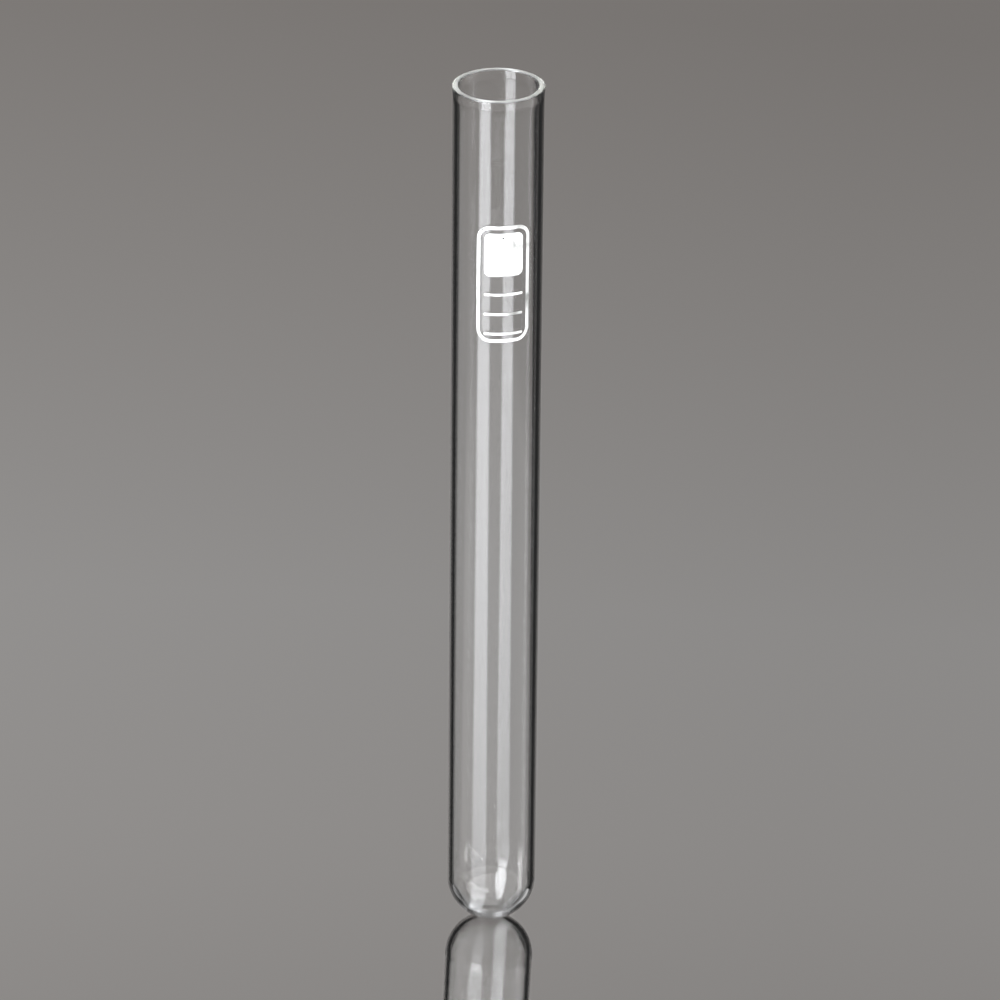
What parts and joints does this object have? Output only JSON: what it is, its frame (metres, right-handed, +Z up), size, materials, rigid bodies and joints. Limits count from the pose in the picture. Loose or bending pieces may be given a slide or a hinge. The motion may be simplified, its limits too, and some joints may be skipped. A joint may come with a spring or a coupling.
{
  "type": "test tube",
  "caption": "Tall clear glass test tube with a round bottom, a slightly thickened satin rim almost flush with the wall, and a ruled white enamel write-on label below the mouth.",
  "frame": {"origin": "the lowest point of the round bottom, on the tube's axis", "axes": "+Z up the axis from the round bottom to the mouth, with the label facing -Y"},
  "size_m": [0.016, 0.0158, 0.16],
  "materials": {
    "glass": "clear drawn borosilicate glass, closed in the flame at the bottom, with a ground rim crown left satin",
    "enamel": "white screen-printed enamel fired onto the glass, slightly matt so that a pencil writes on it"
  },
  "bodies": {
    "root": {"glass_tube": "glass", "label_border": "enamel", "label_panel": "enamel", "label_lines": "enamel"}
  },
  "joints": []
}
